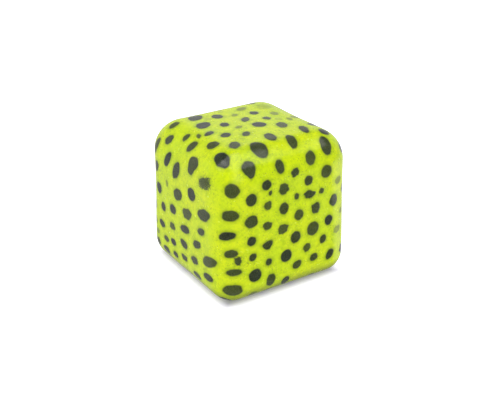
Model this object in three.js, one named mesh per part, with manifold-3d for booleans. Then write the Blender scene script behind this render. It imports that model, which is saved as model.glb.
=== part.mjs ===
// Squeezable fidget cube: a soft rubber skin with rounded edges, packed with dough through a port in its
// base. The port is closed by a glued mushroom plug. Pressed from above, the cube shortens, and then it
// slowly rises again.
//
// Units are millimetres, +Z is up, and the origin is the centre of the base. The skin is one moulding. It is
// divided here at half height, so that its upper half can travel down over the lower half in a squeeze.
import * as THREE from "three";
import { mergeVertices } from "three/addons/utils/BufferGeometryUtils.js";
import Module from "manifold-3d";

const wasm = await Module();
wasm.setup();

// Driving dimensions of the cube
const SIDE = 57; // over the crowned faces
const CROWN = 0.2; // how far the middle of each side and of the top stands proud of its edges
const TOP_EDGE = 11.7; // edge radius at the top
const BASE_EDGE = 8.8; // edge radius at the base
const WALL = 2.4; // skin thickness
const GAP = 0.3; // clearance between neighbouring solids

// The filling port, in the middle of the base: a recess, then a hole through a boss inside the skin
const HOLE_RADIUS = 4.2;
const HOLE_LENGTH = 3.1;
const RECESS_RADIUS = 7;
const RECESS_DEPTH = 2.3;
const BOSS_WALL = 1.8;
const BOSS_RADIUS = RECESS_RADIUS + BOSS_WALL;
const BOSS_HEIGHT = RECESS_DEPTH + HOLE_LENGTH;

// The plug: a flange in the recess, a stem through the hole and a bulb that holds it from inside
const FLANGE_SINK = 0.3; // the flange stays clear of the table
const FLANGE_THICKNESS = 1.2;
const BULB_LIP = 1.4; // how far the bulb reaches past the hole's edge
const BULB_RIM = 1; // height of the bulb's straight side, before it tapers
const BULB_HEIGHT = 3;
const GLUE_THICKNESS = 0.5;

// Facets
const GRID = 12; // squares along a face, of which FLAT_SQUARES lie between the rounded edges
const FLAT_SQUARES = 4;
const ROUND_SEGMENTS = 48; // around the port and the plug
const MERGE_WITHIN = 1e-4;
const TINY = 1e-6;
const PAST = 1; // how far a cutting solid reaches past what it cuts

// Looks
const SKIN_RUBBER = { color: 0xc4dc10, roughness: 0.4 };
const PLUG_RUBBER = { color: 0xd2e24a, roughness: 0.45 };
const GLUE = { color: 0xe9e6c8, roughness: 0.2 };
const DOUGH = { color: 0xf0ead6, roughness: 0.6 };

// Solids

const solidOf = (geometry) => {
  const bare = geometry.clone();
  bare.deleteAttribute("normal");
  bare.deleteAttribute("uv");
  const merged = mergeVertices(bare, MERGE_WITHIN);
  return new wasm.Manifold(
    new wasm.Mesh({
      numProp: 3,
      vertProperties: new Float32Array(merged.attributes.position.array),
      triVerts: new Uint32Array(merged.index.array),
    }),
  );
};

const geometryOf = (solid) => {
  const mesh = solid.getMesh();
  const geometry = new THREE.BufferGeometry();
  geometry.setAttribute("position", new THREE.BufferAttribute(mesh.vertProperties, 3));
  geometry.setIndex(new THREE.BufferAttribute(mesh.triVerts, 1));
  geometry.computeVertexNormals();
  return geometry;
};

// A solid of revolution about +Z. Its outline runs up from the axis to the axis, or is a closed loop.
const turned = (outline) => {
  const points = outline.map(([radius, height]) => new THREE.Vector2(radius, height));
  return solidOf(new THREE.LatheGeometry(points, ROUND_SEGMENTS).rotateX(Math.PI / 2));
};

const drum = (radius, from, to) => turned([[0, from], [radius, from], [radius, to], [0, to]]);

const slab = (from, to) =>
  solidOf(new THREE.BoxGeometry(2 * SIDE, 2 * SIDE, to - from).translate(0, 0, (from + to) / 2));

// The soft cube. Its surface starts as a plain cube from -1 to 1 along each axis.

const onFace = (a) => Math.abs(a) > 1 - TINY;

// How far a point on the plain cube is lifted by the crown of its face. The base and the edges have none.
function crownAt(axes) {
  const onBase = axes[2] < TINY - 1;
  if (onBase || axes.filter(onFace).length > 1) {
    return 0;
  }
  const shares = axes.map((a) => (onFace(a) ? 1 : Math.cos((a * Math.PI) / 2) ** 2));
  return CROWN * shares[0] * shares[1] * shares[2];
}

// Moves a point of the plain cube on to the soft cube whose faces lie inset millimetres inside the skin's.
// Along each axis the middle squares are flat, and the outer ones turn through 45 degrees to the cube's edge.
function toSoftCube(point, inset) {
  const axes = point.toArray();
  const edge = THREE.MathUtils.lerp(BASE_EDGE, TOP_EDGE, THREE.MathUtils.smoothstep(point.z, -1, 1)) - inset;
  const halfWidth = SIDE / 2 - CROWN - inset;
  const halfHeight = (SIDE - CROWN) / 2 - inset;
  const flats = [halfWidth - edge, halfWidth - edge, halfHeight - edge];
  const flatShare = FLAT_SQUARES / GRID;

  const core = new THREE.Vector3();
  const normal = new THREE.Vector3();
  axes.forEach((a, i) => {
    const turn = ((Math.PI / 4) * Math.max(0, Math.abs(a) - flatShare)) / (1 - flatShare);
    core.setComponent(i, Math.sign(a) * flats[i] * Math.min(1, Math.abs(a) / flatShare));
    normal.setComponent(i, Math.sign(a) * Math.tan(turn));
  });

  point.copy(core).addScaledVector(normal.normalize(), edge + crownAt(axes));
  point.z += (SIDE - CROWN) / 2;
}

const softCube = (inset) => {
  const geometry = new THREE.BoxGeometry(2, 2, 2, GRID, GRID, GRID);
  const places = geometry.getAttribute("position");
  const point = new THREE.Vector3();
  for (let i = 0; i < places.count; i++) {
    toSoftCube(point.fromBufferAttribute(places, i), inset);
    places.setXYZ(i, point.x, point.y, point.z);
  }
  return solidOf(geometry);
};

// Skin: hollow, with the port's boss left standing inside

const cavity = softCube(WALL).subtract(drum(BOSS_RADIUS, 0, BOSS_HEIGHT));
const skin = softCube(0)
  .subtract(cavity)
  .subtract(drum(RECESS_RADIUS, -PAST, RECESS_DEPTH))
  .subtract(drum(HOLE_RADIUS, -PAST, BOSS_HEIGHT + PAST));
const skinLower = skin.intersect(slab(-PAST, (SIDE - GAP) / 2));
const skinUpper = skin.intersect(slab((SIDE + GAP) / 2, SIDE + PAST));

// Plug and its ring of glue

const flangeTop = FLANGE_SINK + FLANGE_THICKNESS;
const flangeRadius = RECESS_RADIUS - GAP;
const stemRadius = HOLE_RADIUS - GAP;
const bulbRadius = HOLE_RADIUS + BULB_LIP;
const bulbBase = BOSS_HEIGHT + GAP;
const bulbTop = bulbBase + BULB_HEIGHT;

const plug = turned([
  [0, FLANGE_SINK],
  [flangeRadius - GAP, FLANGE_SINK],
  [flangeRadius, FLANGE_SINK + GAP],
  [flangeRadius, flangeTop],
  [stemRadius, flangeTop],
  [stemRadius, bulbBase],
  [bulbRadius, bulbBase],
  [bulbRadius, bulbBase + BULB_RIM],
  [stemRadius, bulbTop],
  [0, bulbTop],
]);

const glueBase = (flangeTop + RECESS_DEPTH - GLUE_THICKNESS) / 2;
const glueTop = glueBase + GLUE_THICKNESS;
const glueRing = turned([
  [HOLE_RADIUS + GAP, glueBase],
  [flangeRadius - GAP, glueBase],
  [flangeRadius - GAP, glueTop],
  [HOLE_RADIUS + GAP, glueTop],
  [HOLE_RADIUS + GAP, glueBase],
]);

// Dough: it fills the skin, around the port's boss and the plug's bulb

const dough = softCube(WALL + GAP)
  .subtract(drum(BOSS_RADIUS + GAP, 0, BOSS_HEIGHT + GAP))
  .subtract(drum(bulbRadius + GAP, 0, bulbTop + GAP));

// Assembly

const cube = new THREE.Group();
const addPiece = (name, solid, look) => {
  const material = new THREE.MeshStandardMaterial({ ...look, metalness: 0 });
  const mesh = new THREE.Mesh(geometryOf(solid), material);
  mesh.name = name;
  cube.add(mesh);
};

addPiece("skin_lower", skinLower, SKIN_RUBBER);
addPiece("skin_upper", skinUpper, SKIN_RUBBER);
addPiece("fill_plug", plug, PLUG_RUBBER);
addPiece("plug_glue", glueRing, GLUE);
addPiece("dough_filling", dough, DOUGH);

export default cube;
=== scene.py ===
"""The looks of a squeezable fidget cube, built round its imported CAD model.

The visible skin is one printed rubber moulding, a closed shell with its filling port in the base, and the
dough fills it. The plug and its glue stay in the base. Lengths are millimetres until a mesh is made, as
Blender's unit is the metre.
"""

import math
import random

import bpy
import numpy as np
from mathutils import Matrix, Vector


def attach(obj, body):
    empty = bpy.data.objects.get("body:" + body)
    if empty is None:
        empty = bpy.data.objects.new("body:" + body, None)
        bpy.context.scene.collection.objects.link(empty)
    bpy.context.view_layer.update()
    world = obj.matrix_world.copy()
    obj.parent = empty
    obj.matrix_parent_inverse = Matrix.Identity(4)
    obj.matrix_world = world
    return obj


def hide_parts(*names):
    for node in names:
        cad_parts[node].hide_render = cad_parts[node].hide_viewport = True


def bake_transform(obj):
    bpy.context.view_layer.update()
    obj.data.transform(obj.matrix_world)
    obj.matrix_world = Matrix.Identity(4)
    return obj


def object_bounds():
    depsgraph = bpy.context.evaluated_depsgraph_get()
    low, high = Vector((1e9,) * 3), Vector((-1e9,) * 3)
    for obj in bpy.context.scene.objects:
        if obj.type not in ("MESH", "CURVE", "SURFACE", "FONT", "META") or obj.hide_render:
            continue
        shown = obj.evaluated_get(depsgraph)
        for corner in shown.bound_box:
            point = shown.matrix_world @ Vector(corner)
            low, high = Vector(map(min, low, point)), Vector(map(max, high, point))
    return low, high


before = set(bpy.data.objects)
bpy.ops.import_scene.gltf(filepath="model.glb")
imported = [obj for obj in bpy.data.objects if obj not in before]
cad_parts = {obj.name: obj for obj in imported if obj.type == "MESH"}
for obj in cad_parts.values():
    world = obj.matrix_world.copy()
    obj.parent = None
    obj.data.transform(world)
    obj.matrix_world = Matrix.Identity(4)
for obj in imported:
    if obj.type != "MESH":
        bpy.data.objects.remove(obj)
cad_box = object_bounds()

METRES = 0.001  # in a millimetre
TINY = 1e-9

# The skin's shape, as the CAD has it
SIDE = cad_box[1].z / METRES
CROWN = 0.2
TOP_EDGE = 11.7
BASE_EDGE = 8.8
WALL = 2.4
HOLE_RADIUS = 4.2
RECESS_RADIUS = 7.0
RECESS_DEPTH = 2.3
BOSS_RADIUS = 8.8
BOSS_HEIGHT = 5.4

# The plug's, too
FLANGE_BASE = 0.3
FLANGE_TOP = 1.5
FLANGE_RADIUS = 6.62
STEM_RADIUS = 3.9
BULB_RADIUS = 5.6
BULB_BASE = 5.7
BULB_TOP = 8.7

# The glue pressed out round the flange rises and falls by this much, over about this length
BEAD_CREEP = 0.22
BEAD_LENGTH = 7

# Roundings of turned outlines: how far along each of the two legs every point lies
PORT_LIP = 0.45
LIP_ARC = ((1, 0), (0.62, 0.08), (0.29, 0.29), (0.08, 0.62), (0, 1))
FILLET = 0.25
FILLET_ARC = ((1, 0), (0.3, 0.3), (0, 1))

# Grids of the soft surfaces: squares along a side, and the share of it between the rounded edges
SKIN_SQUARES = 104
INNER_SQUARES = 60
FLAT_SHARE = 0.68
PORT_RING = 12  # squares from the base's centre to the ring where the port begins
PORT_STEPS = 8 * PORT_RING  # vertices round it

# The moulding's slight lumps. They fade out towards the base.
LUMP_HEIGHT = 0.16
LUMP_LENGTH = 24
LUMPS_FULL_FROM = 8
HIGHEST_LUMP = 0.3
WAVES = 9


# Meshes

def smooth(t):
    t = np.clip(t, 0, 1)
    return t * t * (3 - 2 * t)


def mesh_object(name, points, faces):
    mesh = bpy.data.meshes.new(name)
    mesh.from_pydata((np.asarray(points) * METRES).tolist(), [], faces)
    mesh.shade_smooth()
    mesh.update()
    piece = bpy.data.objects.new(name, mesh)
    bpy.context.scene.collection.objects.link(piece)
    return piece


def port_outline():
    """The whole-number points round the square ring where the port begins, anticlockwise from +X."""
    points = []
    for step in range(PORT_STEPS):
        side, along = divmod(step + PORT_RING, 2 * PORT_RING)
        x, y = PORT_RING, along - PORT_RING
        for _ in range(side % 4):
            x, y = -y, x
        points.append((x, y))
    return points


def cube_grid(squares):
    """A cube's surface, without what lies inside the port's ring: whole-number points, faces and the ring."""
    half = squares // 2
    numbers = {}
    faces = []
    for axis in range(3):
        for side in (-half, half):
            for i in range(-half, half):
                for j in range(-half, half):
                    corners = ((i, j), (i + 1, j), (i + 1, j + 1), (i, j + 1))
                    in_port = all(max(abs(a), abs(b)) <= PORT_RING for a, b in corners)
                    if axis == 2 and side < 0 and in_port:
                        continue
                    keys = [tuple(on_axis(side, a, b, axis)) for a, b in corners]
                    face = [numbers.setdefault(key, len(numbers)) for key in keys]
                    faces.append(face if side > 0 else face[::-1])
    ring = [numbers[(x, y, -half)] for x, y in port_outline()]
    return np.array(list(numbers), float), faces, ring


def on_axis(side, a, b, axis):
    """The point at side along axis, and at a and b along the next two axes."""
    point = [0, 0, 0]
    point[axis] = side
    point[(axis + 1) % 3] = a
    point[(axis + 2) % 3] = b
    return point


def soft_cube(grid, inset):
    """Places a cube grid's points on the soft cube whose faces lie inset inside the skin's."""
    cube = grid / np.abs(grid).max()
    size = np.abs(cube)
    edge = BASE_EDGE + (TOP_EDGE - BASE_EDGE) * smooth((cube[:, 2] + 1) / 2) - inset
    half = np.array([SIDE / 2 - CROWN, SIDE / 2 - CROWN, (SIDE - CROWN) / 2]) - inset
    core = np.sign(cube) * (half - edge[:, None]) * np.minimum(1, size / FLAT_SHARE)
    turn = np.clip((size - FLAT_SHARE) / (1 - FLAT_SHARE), 0, 1) * math.pi / 4
    normal = np.sign(cube) * np.tan(turn)
    normal /= np.linalg.norm(normal, axis=1)[:, None]

    on_face = size > 1 - TINY
    crown = CROWN * np.where(on_face, 1, np.cos(cube * math.pi / 2) ** 2).prod(axis=1)
    crown *= (on_face.sum(axis=1) == 1) & (cube[:, 2] > TINY - 1)

    points = core + normal * (edge + crown)[:, None]
    points[:, 2] += (SIDE - CROWN) / 2
    return points, normal


def round_port(grid, points, radius):
    """Draws the base's squares in, so that the port's ring is a circle and the squares regain their rows."""
    half = np.abs(grid).max()
    x, y = grid[:, 0], grid[:, 1]
    ring = np.maximum(np.abs(x), np.abs(y))
    last = FLAT_SHARE * half
    near = (grid[:, 2] == -half) & (ring < last)
    x, y, ring = x[near], y[near], ring[near]

    wide = np.abs(x) >= np.abs(y)
    major = np.where(wide, x, y)
    minor = np.where(wide, y, -x)
    angle = np.where(wide, 0, math.pi / 2) + np.where(major < 0, math.pi, 0) + math.pi / 4 * minor / major
    share = (ring - PORT_RING) / (last - PORT_RING)
    outer = np.abs(points[near, :2]).max()
    reach = radius + (outer - radius) * share
    circle = np.stack([np.cos(angle), np.sin(angle)], axis=1) * reach[:, None]
    back = smooth(share)[:, None]
    points[near, :2] = circle * (1 - back) + points[near, :2] * back


def turned_rings(outline):
    """Rings of points about +Z, one for each (radius, height) of the outline."""
    angles = np.arange(PORT_STEPS) * 2 * math.pi / PORT_STEPS
    circle = np.stack([np.cos(angles), np.sin(angles)], axis=1)
    return [np.insert(radius * circle, 2, height, axis=1) for radius, height in outline]


def rounded(radius, height, start, end, arc=FILLET_ARC):
    """Outline points that round off a corner, between two legs whose ends are given from that corner."""
    return [(radius + a * start[0] + b * end[0], height + a * start[1] + b * end[1]) for a, b in arc]


def ring_numbers(first, count):
    """The vertex numbers of count rings, where the vertices from first on are theirs."""
    return [range(first + PORT_STEPS * i, first + PORT_STEPS * (i + 1)) for i in range(count)]


def join_rings(faces, rings):
    """Adds the faces between rings of vertex numbers. Going up a wall, they face the axis."""
    for first, second in zip(rings, rings[1:]):
        for i in range(len(first)):
            k = (i + 1) % len(first)
            faces.append([first[i], second[i], second[k], first[k]])


def slow_waves(points, length, seed):
    """A smooth random height from about -1 to 1 at each point."""
    draw = random.Random(seed)
    total = np.zeros(len(points))
    for _ in range(WAVES):
        way = np.array([draw.gauss(0, 1) for _ in range(3)])
        way *= 2 * math.pi * draw.uniform(0.7, 1.4) / length / np.linalg.norm(way)
        total += np.sin(points @ way + draw.uniform(0, 2 * math.pi))
    return total * 2 / WAVES


# The print: dark spots scattered over the skin, drawn wider where the film was stretched over the edges

FACES = {
    "front": ((1, 0, 0), (0, 0, 1)),
    "right": ((0, 1, 0), (0, 0, 1)),
    "back": ((-1, 0, 0), (0, 0, 1)),
    "left": ((0, -1, 0), (0, 0, 1)),
    "top": ((1, 0, 0), (0, 1, 0)),
    "base": ((1, 0, 0), (0, -1, 0)),
}

# Spots, listed one by one. Each is across, up, width, height, tilt and look, in millimetres over the face
# from its centre and in degrees anticlockwise.
SPOTS = {
    "front": [
        (-16.2, 23.9, 5, 6.4, 0, "drop"), (-4.4, 22.4, 3.6, 5.2, 0, "solid"),
        (8.9, 22.7, 4.2, 5.4, -30, "solid"), (16.7, 25.8, 4.6, 7.4, -8, "solid"),
        (-23.8, 17.1, 5.2, 5.4, 0, "solid"), (-10.6, 17.1, 4, 3.8, 0, "solid"),
        (-9.1, 13.8, 1.6, 2, 0, "chipped"), (1.4, 19, 3.6, 3.2, 30, "chipped"),
        (15, 16.2, 4.8, 5, 0, "round"), (-16.8, 13.1, 4.4, 4.8, 0, "round"),
        (-3.5, 14, 4.4, 4.4, 0, "chipped"), (7.1, 14.6, 3.8, 3.9, 0, "solid"),
        (-24.5, 8.1, 6.2, 4.2, 5, "solid"), (-10.1, 9.3, 3.5, 3.3, 0, "chipped"),
        (2, 9.9, 2.2, 2.7, 0, "solid"), (7.6, 9.3, 5.2, 3.2, -15, "chipped"),
        (13, 9.2, 2.4, 2.4, 0, "chipped"), (21.3, 11.2, 4, 3, 0, "faint"), (-16.8, 5, 5.3, 4.9, 0, "solid"),
        (-3.3, 6.5, 4, 4.7, 15, "solid"), (3.1, 2.4, 4, 4.4, 0, "round"),
        (10.5, 3.2, 4.2, 4.3, 20, "chipped"), (18.8, 4.1, 4, 4.8, -10, "solid"),
        (-10.2, 1.7, 4, 3.3, -10, "chipped"), (-25.8, 0.5, 6.3, 3.3, 12, "solid"),
        (-3.6, -1.4, 4.4, 4, 0, "chipped"), (-16.8, -2.5, 3.8, 3.8, 20, "solid"),
        (9.6, -4.8, 5.4, 5.7, 0, "round"), (16.7, -3.3, 3.8, 4.2, 0, "solid"),
        (24, -1.7, 2.4, 2.4, 0, "faint"), (-24.5, -6.2, 5.2, 3.2, 10, "solid"),
        (-10, -6, 4.4, 3.6, 10, "drop"), (2, -6.2, 4.5, 4.9, 0, "round"),
        (-22, -9.1, 2.7, 3.6, 0, "chipped"), (-16.2, -9, 3.3, 3.2, 20, "solid"),
        (21.3, -8.5, 4, 3, 0, "faint"), (-23.5, -13.5, 5.7, 2.9, 3, "solid"),
        (-9.5, -12.8, 2.8, 3, 0, "solid"), (-1.9, -12.6, 5, 5.2, 15, "round"),
        (7.3, -12, 3.5, 3.5, 0, "chipped"), (14.5, -10.5, 3, 3.8, -20, "solid"),
        (-15.1, -16.7, 5.4, 5.4, 0, "solid"), (3.1, -17.8, 4.3, 3.4, 15, "solid"),
        (10.7, -17, 3.7, 3.3, 15, "solid"), (18, -17.9, 3.2, 4.8, -30, "solid"),
        (-8.3, -20.8, 4, 5.6, 0, "solid"), (-24, -21, 7.2, 5, 0, "solid"),
        (-1.5, -23.8, 3.6, 4.8, 0, "solid"), (-15, -25.8, 4, 3, 0, "faint"),
    ],
    "left": [
        (7.4, 20.2, 4.4, 5.9, -22, "solid"), (-19, 20, 3.4, 6.8, -25, "solid"),
        (-9.7, 17.4, 3.4, 7.6, -34, "solid"), (-3.3, 15.3, 4.2, 8.2, -32, "solid"),
        (16.5, 17.6, 7.4, 4.8, 25, "worn"), (-18.7, 11.7, 3.2, 5, -30, "solid"),
        (7.5, 10, 5.6, 5, 25, "solid"), (-10.5, 7.6, 1.8, 2.8, 0, "faint"),
        (-2.4, 6.2, 6.6, 4.6, 24, "solid"), (15.6, 5.2, 8.6, 4.6, 20, "solid"),
        (-17.4, 3.3, 4.4, 4.4, 0, "solid"), (4.0, 1, 6.4, 4.6, 18, "chipped"),
        (-6.5, -1.3, 4.9, 4, 15, "solid"), (13.8, -2, 5.4, 2.8, 22, "solid"),
        (-14.2, -3.3, 3.6, 4, 0, "solid"), (-21.5, -5, 3, 4, 0, "faint"), (2, -6, 7, 3.4, 12, "solid"),
        (10.8, -8.3, 6, 3.3, 20, "solid"), (-7.6, -8.8, 4.4, 3.2, 0, "chipped"),
        (-15.8, -11, 4.4, 3.2, -10, "solid"), (-21.2, -11.5, 3, 3, 0, "faint"),
        (18.9, -11.6, 8.4, 4.4, 20, "solid"), (0.8, -12.6, 5.6, 3.5, -5, "solid"),
        (-7.4, -15.4, 4, 3, 0, "solid"), (8.8, -15.6, 5.4, 3.2, 5, "chipped"),
        (16.5, -15.6, 3.4, 1.2, 15, "trace"), (-12.8, -16.3, 4, 2.6, 0, "solid"),
        (-20, -15.8, 3.6, 2.4, 0, "faint"), (0.8, -18.3, 5, 2.5, 0, "chipped"),
        (18.3, -18.1, 6.4, 3, 5, "solid"), (-6, -20.1, 4, 2.4, 0, "solid"),
        (-13.3, -21.3, 5, 3.4, 0, "solid"), (-20.1, -20.4, 4, 3.4, 0, "solid"),
        (10.1, -21.3, 5.8, 2.8, 0, "solid"), (2.6, -25.2, 5, 3, 0, "faint"),
    ],
    "top": [
        (-21.9, 16.2, 4.4, 3.4, -10, "solid"), (-12.8, 16, 7, 5, 35, "solid"),
        (-27.6, 12.1, 4.6, 3.6, -40, "solid"), (-5.2, 12.8, 4.4, 4.8, 0, "solid"),
        (-1.2, 17.4, 2.5, 3, 0, "trace"), (7, 15.1, 4.6, 3.2, 15, "faint"), (15.8, 12.8, 6, 6, 0, "trace"),
        (1, 10.5, 3.2, 2.4, 35, "faint"), (8.5, 8.7, 3.6, 3.8, 0, "solid"),
        (-14.4, 7.4, 7.2, 5, 35, "solid"), (-9.6, 12.4, 3, 3, 0, "trace"),
        (-23.5, 4.7, 3.6, 2.9, 0, "solid"), (-7.6, 3.7, 3.6, 4.4, -35, "solid"),
        (1.7, 4.2, 3, 5.6, -42, "solid"), (14.7, 4.2, 3, 4, 0, "faint"), (9.2, 1.2, 3.2, 3.6, 0, "solid"),
        (-20.5, 0.3, 1.8, 3.2, -15, "chipped"), (-25.2, -1.7, 5.2, 3.8, -25, "solid"),
        (-16.7, -0.8, 5, 2.7, 28, "solid"), (-4.7, -1.4, 3.4, 2.2, 20, "faint"),
        (2.9, -3.2, 5.4, 5.2, 0, "round"), (12.4, -1.8, 3, 3, 0, "trace"), (16, -3.8, 2, 3.4, 0, "faint"),
        (19.5, -2.4, 3.6, 3, 0, "faint"), (-12.7, -5.4, 4.6, 3.6, 35, "solid"),
        (9.9, -7.6, 4.2, 5.8, -20, "solid"), (-6.1, -8.5, 2.9, 4.6, -42, "solid"),
        (-20.6, -9.5, 4.8, 4.6, 0, "solid"), (-30.2, -7.6, 5, 6.4, 0, "solid"),
        (-15, -14.9, 4, 6.4, -34, "solid"), (-0.5, -15.4, 4.2, 7, -15, "solid"),
        (14.1, -15.4, 3.2, 7, -15, "solid"), (-10, -11.5, 1.4, 1.2, 0, "trace"),
        (-23.5, -19.9, 5.2, 7.6, -6, "solid"), (-8.8, -21, 6.2, 8.6, -8, "round"),
        (5, -20.8, 4, 7.6, -18, "solid"),
    ],
}

# Where the scattered spots begin on the faces that also have listed spots: beyond these limits
HAND_PLACED = {"front": (-60, 23.5, 60), "left": (-23, 60, 60), "top": (-60, 20, 18.5)}

# Look: how dark, how ragged, how worn, and how much narrower one end is than the other
LOOKS = {
    "solid": (1.0, 0.025, 0.0, 0.05),
    "round": (1.0, 0.012, 0.0, 0.0),
    "drop": (1.0, 0.02, 0.0, 0.35),
    "chipped": (0.95, 0.06, 0.15, 0.0),
    "worn": (1.0, 0.06, 1.0, 0.0),
    # These two paler looks are dark spots made pale for the white sheen over the skin's rims and top: painted
    # reflection
    "faint": (0.6, 0.03, 0.1, 0.0),
    "trace": (0.25, 0.08, 0.2, 0.0),
}
NO_SPOT = -9.0  # the depth where no spot is near
SPOT_REACH = 9.0
SAME_SIDE = 0.3  # how well a point's normal must agree with a spot's for the spot to reach it
SCATTER_TRIES = 4200
SCATTER_SEED = 11
MIDDLE_SPACING = 6.3
EDGE_SPACING = 7.4
SPOT_SIZES = (3.4, 4.9)
SPOT_TILTS = (-35, 35)
STRETCH_FROM = 13  # across and up from a face's centre, where the stretched film's spots start to widen
STRETCH_OVER = 15
CHANCES = (("chipped", 0.2), ("worn", 0.23), ("round", 0.45), ("solid", 1))  # each up to this draw
RIM_WAVES = (2, 3, 4, 5, 7)  # how many times each one goes up and down round a spot's rim


def edge_radius(height):
    return BASE_EDGE + (TOP_EDGE - BASE_EDGE) * float(smooth(height / SIDE))


def face_point(face, across, up):
    """The point of the skin that lies so far over a face from its centre, round the edges where it must."""
    right, over = (np.array(way, float) for way in FACES[face])
    out = np.cross(right, over)
    edge = {"top": TOP_EDGE, "base": BASE_EDGE}.get(face) or edge_radius(SIDE / 2 + up)
    flat = SIDE / 2 - edge
    turns = [math.copysign(max(abs(way) - flat, 0) / edge, way) for way in (across, up)]
    stay = [min(max(way, -flat), flat) for way in (across, up)]
    lean = (
        math.sin(turns[0]) * math.cos(turns[1]),
        math.sin(turns[1]) * math.cos(turns[0]),
        math.cos(turns[0]) * math.cos(turns[1]),
    )
    normal = lean[0] * right + lean[1] * over + lean[2] * out
    normal /= np.linalg.norm(normal)
    centre = np.array([0, 0, SIDE / 2])
    return centre + stay[0] * right + stay[1] * over + flat * out + edge * normal, normal


def make_spot(face, across, up, wide, tall, tilt, look, draw):
    place, normal = face_point(face, across, up)
    right = face_point(face, across + 0.5, up)[0] - face_point(face, across - 0.5, up)[0]
    right -= normal * (right @ normal)
    right /= np.linalg.norm(right)
    over = np.cross(normal, right)
    angle = math.radians(tilt)
    dark, ragged, worn, taper = LOOKS[look]
    return {
        "place": place,
        "normal": normal,
        "right": right * math.cos(angle) + over * math.sin(angle),
        "over": over * math.cos(angle) - right * math.sin(angle),
        "half": (wide / 2, tall / 2),
        "dark": dark * draw.uniform(0.9, 1.0),
        "worn": worn,
        "taper": taper * draw.choice((-1, 1)) if look == "solid" else taper,
        "waves": [
            (n, ragged * draw.uniform(0.3, 1.0), draw.uniform(0, 2 * math.pi)) for n in RIM_WAVES
        ],
    }


def scattered_spot(face, spots, draw):
    """A spot somewhere on a face, or none if it would crowd the others or lie among those listed."""
    reach = SIDE / 2 + 1
    across, up = draw.uniform(-reach, reach), draw.uniform(-reach, reach)
    stretch = draw.uniform(0, 1)
    size, tilt, chance = draw.uniform(*SPOT_SIZES), draw.uniform(*SPOT_TILTS), draw.random()
    if face in HAND_PLACED:
        low, high, top = HAND_PLACED[face]
        if low < across < high and up < top:
            return None
    near_side = max(0, abs(across) - STRETCH_FROM) / STRETCH_OVER
    near_top = max(0, abs(up) - STRETCH_FROM) / STRETCH_OVER
    spacing = MIDDLE_SPACING + (EDGE_SPACING - MIDDLE_SPACING) * max(near_side, near_top)
    place, normal = face_point(face, across, up)
    for other in spots:
        if np.linalg.norm(place - other["place"]) < spacing:
            return None
    growth = 0.25 + 0.35 * stretch
    wide = size * (0.85 + growth * near_side)
    tall = size * (0.85 + growth * near_top)
    look = next(look for look, limit in CHANCES if chance < limit)
    return make_spot(face, across, up, wide, tall, tilt, look, draw)


def print_spots():
    draw = random.Random(SCATTER_SEED)
    spots = [make_spot(face, *spot, draw) for face, row in SPOTS.items() for spot in row]
    for _ in range(SCATTER_TRIES):
        spot = scattered_spot(draw.choice(list(FACES)), spots, draw)
        if spot:
            spots.append(spot)
    return spots


def spot_depths(points, normals, spots):
    """How many millimetres each point lies inside its nearest spot, and how dark and worn that spot is."""
    depth = np.full(len(points), NO_SPOT)
    dark = np.ones(len(points))
    worn = np.zeros(len(points))
    for spot in spots:
        away = points - spot["place"]
        near = (np.abs(away).max(axis=1) < SPOT_REACH) & (normals @ spot["normal"] > SAME_SIDE)
        x = away[near] @ spot["right"]
        y = away[near] @ spot["over"]
        wide, tall = spot["half"]
        x = x / (1 + spot["taper"] * np.clip(y / tall, -1, 1))
        ratio = np.hypot(x / wide, y / tall) + 1e-6
        angle = np.arctan2(y / tall, x / wide)
        rim = 1 + sum(size * np.cos(n * angle + start) for n, size, start in spot["waves"])
        inside = (rim - ratio) * ratio / (np.hypot(x / wide**2, y / tall**2) + 1e-6)
        deeper = inside > depth[near]
        chosen = np.flatnonzero(near)[deeper]
        depth[chosen] = inside[deeper]
        dark[chosen] = spot["dark"]
        worn[chosen] = spot["worn"]
    return depth, dark, worn


def keep_on_mesh(piece, **values):
    """Stores a number for each vertex, for the material to read."""
    for name, numbers in values.items():
        layer = piece.data.attributes.new(name, "FLOAT", "POINT")
        layer.data.foreach_set("value", np.asarray(numbers, np.float32))


def keep_place(piece, points):
    """Stores where each vertex is at rest, in millimetres, so that a material's grain moves with the skin."""
    layer = piece.data.attributes.new("rest_place", "FLOAT_VECTOR", "POINT")
    layer.data.foreach_set("vector", np.asarray(points, np.float32).ravel())


# Pieces

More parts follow.
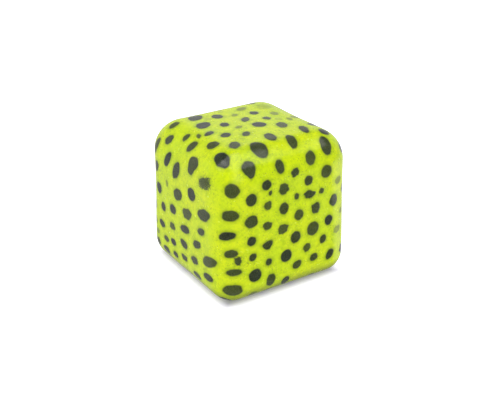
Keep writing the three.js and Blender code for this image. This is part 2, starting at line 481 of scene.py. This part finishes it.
def make_skin():
    grid, faces, outer_ring = cube_grid(SKIN_SQUARES)
    outer, normals = soft_cube(grid, 0)
    round_port(grid, outer, RECESS_RADIUS + 1.3)
    lumps = slow_waves(outer, LUMP_LENGTH, seed=3) * LUMP_HEIGHT * smooth(outer[:, 2] / LUMPS_FULL_FROM)
    outer += normals * np.minimum(lumps, HIGHEST_LUMP)[:, None]

    inner_grid, inner_faces, inner_ring = cube_grid(INNER_SQUARES)
    inner, _ = soft_cube(inner_grid, WALL)
    round_port(inner_grid, inner, BOSS_RADIUS + 1)

    port = turned_rings([
        (RECESS_RADIUS + 2 * PORT_LIP, 0),
        *rounded(RECESS_RADIUS, 0, (PORT_LIP, 0), (0, PORT_LIP), LIP_ARC),
        (RECESS_RADIUS, RECESS_DEPTH * 0.6),
        *rounded(RECESS_RADIUS, RECESS_DEPTH, (0, -FILLET), (-FILLET, 0)),
        (HOLE_RADIUS + 1.2, RECESS_DEPTH),
        *rounded(HOLE_RADIUS, RECESS_DEPTH, (FILLET, 0), (0, FILLET)),
        *rounded(HOLE_RADIUS, BOSS_HEIGHT, (0, -FILLET), (FILLET, 0)),
        *rounded(BOSS_RADIUS, BOSS_HEIGHT, (-FILLET, 0), (0, -FILLET)),
        *rounded(BOSS_RADIUS, WALL, (0, FILLET), (FILLET, 0))[:-1],
    ])
    points = np.concatenate([outer, *port, inner])
    first_inner = len(points) - len(inner)
    last_ring = [first_inner + i for i in inner_ring]
    join_rings(faces, [outer_ring, *ring_numbers(len(outer), len(port)), last_ring])
    faces += [[first_inner + i for i in reversed(face)] for face in inner_faces]

    skin = mesh_object("printed_skin", points, faces)
    depth, dark, worn = spot_depths(outer, normals, print_spots())
    unprinted = len(points) - len(outer)
    keep_on_mesh(
        skin,
        spot_depth=np.pad(depth, (0, unprinted), constant_values=NO_SPOT),
        spot_dark=np.pad(dark, (0, unprinted), constant_values=1),
        spot_worn=np.pad(worn, (0, unprinted)),
    )
    keep_place(skin, points)
    return skin


def make_dough():
    grid, faces, ring = cube_grid(INNER_SQUARES)
    points, _ = soft_cube(grid, WALL + 0.2)
    round_port(grid, points, BOSS_RADIUS + 1.4)
    pocket = turned_rings([
        (BOSS_RADIUS + 0.5, WALL + 0.25),
        (BOSS_RADIUS + 0.3, WALL + 0.5),
        (BOSS_RADIUS + 0.3, BOSS_HEIGHT),
        (BOSS_RADIUS, BOSS_HEIGHT + 0.3),
        (BULB_RADIUS + 0.6, BOSS_HEIGHT + 0.3),
        (BULB_RADIUS + 0.3, BULB_BASE + 0.4),
        (BULB_RADIUS + 0.25, BULB_BASE + 1.2),
        (BULB_RADIUS - 0.4, BULB_TOP - 0.5),
        (BULB_RADIUS - 2.0, BULB_TOP + 0.22),
        (0.6, BULB_TOP + 0.25),
    ])
    rings = [ring, *ring_numbers(len(points), len(pocket))]
    points = np.concatenate([points, *pocket])
    join_rings(faces, rings)
    faces.append(list(rings[-1])[::-1])
    dough = mesh_object("dough", points, faces)
    keep_place(dough, points)
    return dough


def turned_piece(name, outline):
    """A solid of revolution whose outline starts and ends on the axis, from the bottom to the top."""
    rings = turned_rings(outline[1:-1])
    points = np.concatenate([[[0, 0, outline[0][1]]], *rings, [[0, 0, outline[-1][1]]]])
    numbers = ring_numbers(1, len(rings))
    faces = []
    join_rings(faces, numbers)
    faces = [face[::-1] for face in faces]
    last = len(points) - 1
    for i in range(PORT_STEPS):
        k = (i + 1) % PORT_STEPS
        faces.append([0, numbers[0][k], numbers[0][i]])
        faces.append([last, numbers[-1][i], numbers[-1][k]])
    piece = mesh_object(name, points, faces)
    keep_place(piece, points)
    return piece


def make_plug():
    return turned_piece("port_plug", [
        (0, FLANGE_BASE + 0.14),
        (0.5, FLANGE_BASE + 0.14),
        (0.66, FLANGE_BASE + 0.2),
        (0.74, FLANGE_BASE + 0.38),
        (0.95, FLANGE_BASE + 0.46),
        (2.4, FLANGE_BASE + 0.46),
        (3.2, FLANGE_BASE + 0.36),
        (4.0, FLANGE_BASE + 0.14),
        (4.6, FLANGE_BASE + 0.02),
        (5.2, FLANGE_BASE),
        (FLANGE_RADIUS - 0.5, FLANGE_BASE),
        (FLANGE_RADIUS - 0.2, FLANGE_BASE + 0.06),
        (FLANGE_RADIUS - 0.05, FLANGE_BASE + 0.22),
        (FLANGE_RADIUS, FLANGE_BASE + 0.45),
        (FLANGE_RADIUS, FLANGE_TOP - 0.15),
        (FLANGE_RADIUS - 0.15, FLANGE_TOP),
        (STEM_RADIUS + 0.3, FLANGE_TOP),
        (STEM_RADIUS, FLANGE_TOP + 0.3),
        (STEM_RADIUS, BULB_BASE),
        (BULB_RADIUS - 0.2, BULB_BASE),
        (BULB_RADIUS, BULB_BASE + 0.2),
        (BULB_RADIUS - 0.04, BULB_BASE + 0.9),
        (BULB_RADIUS - 0.5, BULB_BASE + 1.9),
        (BULB_RADIUS - 1.3, BULB_TOP - 0.4),
        (BULB_RADIUS - 2.4, BULB_TOP - 0.06),
        (BULB_RADIUS - 3.6, BULB_TOP),
        (0, BULB_TOP),
    ])


def make_glue():
    """A ring of glue over the plug's flange, with the uneven bead pressed out round the flange's rim."""
    # The section: radius, height and the share of the bead's unevenness
    section = [
        (HOLE_RADIUS + 0.4, FLANGE_TOP + 0.1, 0),
        (FLANGE_RADIUS - 0.1, FLANGE_TOP + 0.08, 0),
        (FLANGE_RADIUS + 0.07, FLANGE_TOP - 0.1, 0),
        (FLANGE_RADIUS + 0.08, FLANGE_TOP - 0.45, 1),
        (FLANGE_RADIUS + 0.18, FLANGE_TOP - 0.52, 1),
        (RECESS_RADIUS - 0.07, FLANGE_TOP - 0.66, 1),
        (RECESS_RADIUS - 0.04, FLANGE_TOP - 0.4, 0.6),
        (RECESS_RADIUS - 0.04, FLANGE_TOP + 0.1, 0),
        (RECESS_RADIUS - 0.15, RECESS_DEPTH - 0.2, 0),
        (RECESS_RADIUS - 0.45, RECESS_DEPTH - 0.06, 0),
        (HOLE_RADIUS + 0.4, RECESS_DEPTH - 0.06, 0),
    ]
    rings = turned_rings([(radius, height) for radius, height, _ in section])
    creep = slow_waves(rings[0], BEAD_LENGTH, seed=5) * BEAD_CREEP
    for ring, (_, _, share) in zip(rings, section):
        ring[:, 2] += creep * share
    numbers = ring_numbers(0, len(rings))
    faces = []
    join_rings(faces, [*numbers, numbers[0]])
    faces = [face[::-1] for face in faces]
    points = np.concatenate(rings)
    glue = mesh_object("glue_ring", points, faces)
    keep_place(glue, points)
    return glue


# Materials

class Nodes:
    """A node tree, with short ways to add the nodes that are shared here."""

    def __init__(self, tree):
        self.tree = tree

    def link(self, source, target):
        if isinstance(source, bpy.types.NodeSocket):
            self.tree.links.new(source, target)
        else:
            target.default_value = source

    def value(self, name, output="Fac"):
        node = self.tree.nodes.new("ShaderNodeAttribute")
        node.attribute_name = name
        return node.outputs[output]

    def split(self, vector):
        """The X, Y and Z of a vector."""
        node = self.tree.nodes.new("ShaderNodeSeparateXYZ")
        self.link(vector, node.inputs[0])
        return tuple(node.outputs)

    def product(self, first, *others):
        for other in others:
            first = self.math("MULTIPLY", first, other)
        return first

    def math(self, operation, *inputs):
        node = self.tree.nodes.new("ShaderNodeMath")
        node.operation = operation
        for source, target in zip(inputs, node.inputs):
            self.link(source, target)
        return node.outputs[0]

    def noise(self, length, detail=3, roughness=0.5, distortion=0):
        """Noise whose blots are about length millimetres across."""
        node = self.tree.nodes.new("ShaderNodeTexNoise")
        node.inputs["Scale"].default_value = 1 / length
        node.inputs["Detail"].default_value = detail
        node.inputs["Roughness"].default_value = roughness
        node.inputs["Distortion"].default_value = distortion
        self.link(self.place, node.inputs["Vector"])
        return node.outputs["Fac"]

    def blots(self, length, low, high, least=0, most=1, **kind):
        """Noise cut to soft-edged blots: it goes from least to most as the noise goes from low to high."""
        return self.ramp(self.noise(length, **kind), low, high, least, most)

    def cells(self, length):
        """The distance to the nearest scattered point, as a share of their spacing, and that point's lot."""
        node = self.tree.nodes.new("ShaderNodeTexVoronoi")
        node.inputs["Scale"].default_value = 1 / length
        self.link(self.place, node.inputs["Vector"])
        separate = self.tree.nodes.new("ShaderNodeSeparateColor")
        self.link(node.outputs["Color"], separate.inputs[0])
        return node.outputs["Distance"], separate.outputs[0]

    def ramp(self, source, low, high, from_value=0, to_value=1):
        """A smooth step from one value to another, as source goes from low to high."""
        node = self.tree.nodes.new("ShaderNodeMapRange")
        node.interpolation_type = "SMOOTHSTEP"
        for target, number in zip(node.inputs, (source, low, high, from_value, to_value)):
            self.link(number, target)
        return node.outputs[0]

    def mix(self, share, first, second):
        node = self.tree.nodes.new("ShaderNodeMix")
        node.data_type = "RGBA"
        colours = [socket for socket in node.inputs if socket.type == "RGBA"]
        self.link(share, node.inputs[0])
        self.link(first, colours[0])
        self.link(second, colours[1])
        return [socket for socket in node.outputs if socket.type == "RGBA"][0]

    def bump(self, height, depth, before=None):
        """Raises the surface by height times depth millimetres."""
        node = self.tree.nodes.new("ShaderNodeBump")
        node.inputs["Distance"].default_value = depth * METRES
        self.link(height, node.inputs["Height"])
        if before:
            self.link(before, node.inputs["Normal"])
        return node.outputs["Normal"]


class MaterialNodes(Nodes):
    """A material's node tree. Its grain lies still on the rubber, because it is placed by rest_place."""

    def __init__(self, name):
        self.material = bpy.data.materials.new(name)
        self.material.use_nodes = True
        super().__init__(self.material.node_tree)
        self.place = self.value("rest_place", "Vector")

    def set(self, **inputs):
        shader = self.tree.nodes["Principled BSDF"]
        for name, source in inputs.items():
            self.link(source, shader.inputs[name.replace("_", " ")])


def rgb(red, green, blue):
    """An sRGB colour, 0 to 255, as the shader's linear one."""
    def linear(value):
        value /= 255
        return value / 12.92 if value <= 0.04045 else ((value + 0.055) / 1.055) ** 2.4
    return (linear(red), linear(green), linear(blue), 1)


# Colours of the rubber, from its ground to what lies on it
LIME = rgb(204, 219, 0)
DEEP_LIME = rgb(192, 215, 3)
MOTTLE = rgb(173, 204, 12)
FLECK = rgb(214, 230, 4)
PATCH = rgb(158, 190, 14)
GRIME = rgb(116, 145, 26)
SPECK = rgb(96, 116, 40)
SMEAR = rgb(146, 176, 14)
# Painted shade: a dark olive laid over the rubber's lower edge
PAINTED_BASE_SHADE = rgb(116, 127, 20)
HALO = rgb(120, 150, 18)
INK = rgb(40, 47, 39)
DEEP_INK = rgb(25, 31, 28)
INK_FIBRE = rgb(72, 80, 64)

# Colours of the hidden pieces
PLUG_LIME = rgb(190, 212, 28)
PALE_PLUG_LIME = rgb(203, 221, 40)
SCUFF = rgb(150, 168, 60)
CLEAR_GLUE = rgb(236, 234, 206)
YELLOWED_GLUE = rgb(222, 220, 170)
DOUGH = rgb(232, 226, 205)
PALE_DOUGH = rgb(244, 240, 226)
BUBBLE = rgb(205, 196, 168)

# The rims of the spots, in millimetres inside the drawn one: from where to where each share grows
SOFT_RIM = (-0.36, 0.38)
HALO_RIM = (-1.7, 0.1)
FRAYED_RIM = (0.2, 1.5)
RAGGED = 0.4
RAGGED_WHEN_WORN = 3.5
BARE_WHEN_WORN = 0.8  # the share of the print that is lost where it is worn through
PRINT_GLOSS = 0.1  # how much less rough the print is than the rubber
PAINTED_BASE_SHADE_BELOW = (2.5, 8.5)  # heights between which the painted shade on the lower edge fades out


def speckle(n, spacing, rim, lots):
    """Dots round scattered points. They fade out across rim, and from the high lots to the low ones."""
    distance, lot = n.cells(spacing)
    return n.product(n.ramp(distance, *rim, 1, 0), n.ramp(lot, *lots))


def rubber_ground(n):
    """Cloudy yellow-green with flecks and patches, gathered grime and specks, and painted shade darkening the
    lower edge.
    """
    ground = n.mix(n.blots(16, 0.35, 0.65, detail=2), DEEP_LIME, LIME)
    ground = n.mix(n.blots(2.6, 0.3, 0.75, 0, 0.6, detail=4, roughness=0.6), ground, MOTTLE)
    ground = n.mix(n.blots(0.8, 0.4, 0.7, 0, 0.35, roughness=0.6), ground, FLECK)
    ground = n.mix(n.blots(1.2, 0.46, 0.66, 0, 0.45, detail=4, roughness=0.65), ground, PATCH)

    grime = n.product(n.blots(0.55, 0.54, 0.7, 0, 0.6, detail=2), n.blots(7, 0.4, 0.6))
    ground = n.mix(grime, ground, GRIME)
    specks = n.product(speckle(n, 1.3, (0.08, 0.24), (0.5, 0.8)), n.blots(8, 0.42, 0.58, 0, 0.75))
    ground = n.mix(specks, ground, SPECK)
    smear = n.blots(4.5, 0.56, 0.74, 0, 0.4, detail=4, roughness=0.6, distortion=1.2)
    ground = n.mix(smear, ground, SMEAR)

    # Painted shade: the colour darkens towards the base, over the lower edge
    low = n.ramp(n.split(n.place)[2], *PAINTED_BASE_SHADE_BELOW, 1, 0)
    return n.mix(n.product(low, n.blots(1.8, 0.2, 0.8, 0.8, 1, detail=4)), ground, PAINTED_BASE_SHADE)


def print_shares(n):
    """How much of the rubber the print covers, and how much the halo round each spot tints it."""
    depth, dark, worn = (n.value(name) for name in ("spot_depth", "spot_dark", "spot_worn"))
    chips = n.math("SUBTRACT", n.noise(0.9, detail=4, roughness=0.65), 0.5)
    raggedness = n.math("ADD", RAGGED, n.math("MULTIPLY", worn, RAGGED_WHEN_WORN))
    rim = n.math("ADD", depth, n.product(chips, raggedness))
    spot = n.ramp(rim, *SOFT_RIM)

    frayed = n.product(n.ramp(worn, 0.3, 0.8), n.ramp(depth, *FRAYED_RIM, 1, 0.12))
    hairs = n.product(frayed, n.blots(0.7, 0.56, 0.68, detail=2, distortion=2.5))
    pinholes = n.blots(0.38, 0.76, 0.8, 0, 0.7, detail=1)
    wear = n.math("MAXIMUM", hairs, pinholes)
    kept = n.math("SUBTRACT", 1, n.math("MULTIPLY", wear, BARE_WHEN_WORN))
    halo = n.product(n.ramp(rim, *HALO_RIM), dark, n.blots(6, 0.25, 0.7, 0.15, 0.55, detail=2))
    return n.product(spot, kept, dark), halo


def skin_material():
    """Satin yellow-green rubber under a dark film print, with soft rims, chips, specks and pinholes."""
    n = MaterialNodes("printed_rubber")
    cover, halo = print_shares(n)
    ground = n.mix(halo, rubber_ground(n), HALO)
    ink = n.mix(n.blots(3.5, 0.3, 0.7), DEEP_INK, INK)
    ink = n.mix(n.blots(0.45, 0.42, 0.62, 0, 0.35, roughness=0.6), ink, INK_FIBRE)

    rough = n.blots(1.6, 0.25, 0.75, 0.2, 0.28, detail=4, roughness=0.6)
    rough = n.math("SUBTRACT", rough, n.math("MULTIPLY", cover, PRINT_GLOSS))
    grain = n.bump(n.noise(0.35, roughness=0.6), 0.02)
    dimples = n.bump(n.noise(3.2, detail=2), 0.12, grain)
    raised = n.bump(cover, 0.03, dimples)
    n.set(Base_Color=n.mix(cover, ground, ink), Roughness=rough, Normal=raised, Specular_IOR_Level=0.36)
    return n.material


def plug_material():
    """The same rubber, unprinted, a little scuffed on its flange."""
    n = MaterialNodes("plain_rubber")
    colour = n.mix(n.blots(4, 0.35, 0.65), PLUG_LIME, PALE_PLUG_LIME)
    scuff = n.blots(0.5, 0.58, 0.72, 0, 0.5, detail=5, roughness=0.7, distortion=0.8)
    colour = n.mix(scuff, colour, SCUFF)
    rough = n.blots(1.2, 0.3, 0.7, 0.42, 0.6, detail=4)
    grain = n.bump(n.noise(0.3, detail=4), 0.03)
    n.set(Base_Color=colour, Roughness=rough, Normal=grain, Specular_IOR_Level=0.4)
    return n.material


def glue_material():
    """Set glue: glossy and cloudy, and yellowed a little."""
    n = MaterialNodes("set_glue")
    colour = n.mix(n.blots(0.9, 0.3, 0.7), YELLOWED_GLUE, CLEAR_GLUE)
    ripple = n.bump(n.noise(0.8, detail=2), 0.06)
    rough = n.blots(0.7, 0.3, 0.7, 0.12, 0.3)
    n.set(Base_Color=colour, Roughness=rough, Normal=ripple, Specular_IOR_Level=0.5)
    return n.material


def dough_material():
    """Moist off-white dough with small bubbles."""
    n = MaterialNodes("moist_dough")
    colour = n.mix(n.blots(6, 0.3, 0.7, detail=4), DOUGH, PALE_DOUGH)
    bubbles = speckle(n, 1.8, (0.1, 0.28), (0.5, 0.55))
    colour = n.mix(n.math("MULTIPLY", bubbles, 0.4), colour, BUBBLE)
    rough = n.blots(2, 0.3, 0.7, 0.35, 0.6, detail=4)
    pits = n.bump(n.math("SUBTRACT", 1, bubbles), 0.15)
    n.set(Base_Color=colour, Roughness=rough, Normal=pits, Specular_IOR_Level=0.45)
    return n.material


def paint(piece, material):
    piece.data.materials.clear()
    piece.data.materials.append(material)


skin = make_skin()
paint(skin, skin_material())
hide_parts("skin_lower", "skin_upper")

dough = make_dough()
paint(dough, dough_material())
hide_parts("dough_filling")

for soft in (skin, dough):
    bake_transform(soft)

plug = make_plug()
paint(plug, plug_material())
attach(plug, "base")
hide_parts("fill_plug")

glue = make_glue()
paint(glue, glue_material())
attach(glue, "base")
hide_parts("plug_glue")


# Studio: a pale floor that glows, with a painted shadow round the cube, an unevenly lit white surround, three
# softboxes and the camera. Glossy rays don't see the floor, so below the horizon the surround stands for the
# floor's reflection.

FLOOR_HALF = 4.0
FLOOR_COLOUR = (0.62, 0.6, 0.7, 1)
GLOW = (0.14, 0.9)  # near the cube, turned down as a painted shadow, and away from it
GLOW_REACH = (-7.5 * METRES, 0.5 * METRES)  # past the cube's side, where it starts to grow and is full
ROOM_NEAR = 0.38  # on the camera's side, and then the far side
ROOM_FAR = 0.82
ROOM_NEAR_BELOW = 0.05  # the same, below the horizon
ROOM_FAR_BELOW = 0.6
ROOM_TOP = 0.12  # the share of its light that is left overhead
ROOM_RIGHT_BELOW = 1.5  # added low on the right
ROOM_UNDER = 0.3  # straight below
SOFTBOXES = {  # where each hangs, its width and its power
    "overhead": ((0.03, -0.13, 0.78), 0.88, 5.9),
    "front": ((-0.2, -0.69, 0.39), 0.42, 1.1),
    "left": ((-0.46, 0.08, 0.68), 0.42, 1.4),
}
CAMERA_AZIMUTH = -32.9
CAMERA_ELEVATION = 24.8
CAMERA_DISTANCE = 5.668 * SIDE * METRES
CAMERA_LENS = 61.5
SENSOR_WIDTH = 36
CAMERA_SHIFT = (0.0048, -0.011)
CUBE_MIDDLE = Vector((0, 0, SIDE / 2 * METRES))
WHITE = (1, 1, 1, 1)


def make_floor():
    """A white table that glows, but for the part close round the cube, where the glow is turned down as a
    painted shadow over the cube's own.
    """
    bpy.ops.mesh.primitive_plane_add(size=2 * FLOOR_HALF)
    floor = bpy.context.object
    floor.name = "floor"
    material = bpy.data.materials.new("floor")
    material.use_nodes = True
    n = Nodes(material.node_tree)
    across, away, _ = n.split(n.tree.nodes.new("ShaderNodeTexCoord").outputs["Object"])
    reach = n.math("MAXIMUM", n.math("ABSOLUTE", across), n.math("ABSOLUTE", away))
    first, last = (SIDE / 2 * METRES + past for past in GLOW_REACH)
    shader = n.tree.nodes["Principled BSDF"]
    n.link(FLOOR_COLOUR, shader.inputs["Base Color"])
    n.link(0.7, shader.inputs["Roughness"])
    n.link(WHITE, shader.inputs["Emission Color"])
    # Painted shadow: the glow is weakest close round the cube
    n.link(n.ramp(reach, first, last, *GLOW), shader.inputs["Emission Strength"])
    paint(floor, material)
    floor.visible_glossy = False


def make_softbox(name, place, size, power):
    """A square area light, turned to the cube's middle."""
    light = bpy.data.lights.new(name, "AREA")
    light.shape = "SQUARE"
    light.size = size
    light.energy = power
    box = bpy.data.objects.new(name, light)
    box.location = place
    box.rotation_euler = (CUBE_MIDDLE - box.location).to_track_quat("-Z", "Y").to_euler()
    bpy.context.scene.collection.objects.link(box)


def make_surround():
    """A white room by direction: brighter beyond the cube and low on the right, dimmer overhead and below."""
    world = bpy.data.worlds.new("surround")
    world.use_nodes = True
    n = Nodes(world.node_tree)
    across, away, height = n.split(n.tree.nodes.new("ShaderNodeTexCoord").outputs["Generated"])
    near = n.ramp(height, -0.05, 0.15, ROOM_NEAR_BELOW, ROOM_NEAR)
    far = n.ramp(height, -0.05, 0.15, ROOM_FAR_BELOW, ROOM_FAR)
    around = n.ramp(away, -0.5, 0.5, near, far)
    strength = n.product(around, n.ramp(height, 0.3, 0.8, 1, ROOM_TOP))
    low = n.ramp(height, -0.2, 0, ROOM_RIGHT_BELOW, 0)
    right_below = n.product(n.ramp(across, 0.58, 0.76), low, n.ramp(away, -0.35, 0.1, 1, 0.2))
    strength = n.math("ADD", strength, right_below)
    strength = n.ramp(height, -0.8, -0.55, ROOM_UNDER, strength)
    background = n.tree.nodes["Background"]
    n.link(WHITE, background.inputs["Color"])
    n.link(strength, background.inputs["Strength"])
    bpy.context.scene.world = world


def make_camera():
    azimuth, elevation = math.radians(CAMERA_AZIMUTH), math.radians(CAMERA_ELEVATION)
    back = Vector((
        math.sin(azimuth) * math.cos(elevation),
        -math.cos(azimuth) * math.cos(elevation),
        math.sin(elevation),
    ))
    lens = bpy.data.cameras.new("camera")
    lens.lens = CAMERA_LENS
    lens.sensor_width = SENSOR_WIDTH
    lens.shift_x, lens.shift_y = CAMERA_SHIFT
    lens.clip_start = 0.01
    camera = bpy.data.objects.new("camera", lens)
    camera.location = CUBE_MIDDLE + back * CAMERA_DISTANCE
    camera.rotation_euler = back.to_track_quat("Z", "Y").to_euler()
    bpy.context.scene.collection.objects.link(camera)
    bpy.context.scene.camera = camera


make_floor()
make_surround()
for name, (place, size, power) in SOFTBOXES.items():
    make_softbox(name, place, size, power)
make_camera()
bpy.context.scene.view_settings.view_transform = "Standard"
